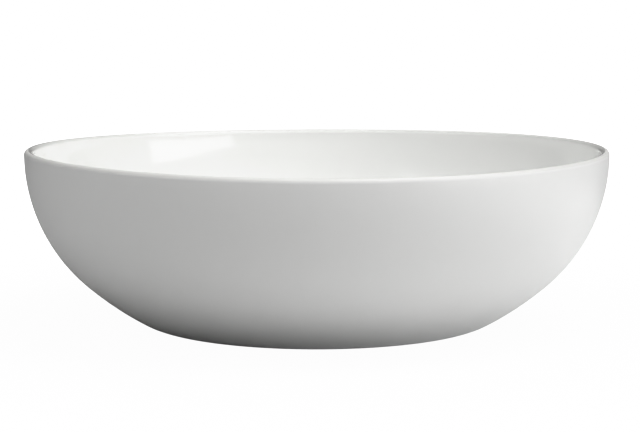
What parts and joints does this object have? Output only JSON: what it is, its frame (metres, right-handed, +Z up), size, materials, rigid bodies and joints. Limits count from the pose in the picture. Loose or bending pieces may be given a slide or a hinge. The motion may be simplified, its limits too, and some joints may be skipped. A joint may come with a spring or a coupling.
{
  "type": "porcelain serving bowl",
  "caption": "Round coupe serving bowl with a soft rounded lip, a deep curved wall and a low unglazed foot, white glaze inside and out.",
  "frame": {"origin": "middle of the circle that the foot stands on, at the bottom of the foot", "axes": "+Z up along the bowl's axis of symmetry, out of its mouth; +X and +Y level and equal, because the bowl is round"},
  "size_m": [0.28, 0.28, 0.085],
  "materials": {
    "porcelain_clay": "matte",
    "bare_foot": "matte",
    "inside_glaze": "gloss",
    "outside_glaze": "satin"
  },
  "bodies": {
    "root": {"porcelain_body": "porcelain_clay", "foot_ring": "bare_foot", "inner_glaze": "inside_glaze", "outer_glaze": "outside_glaze", "base_glaze": "outside_glaze"}
  },
  "joints": []
}
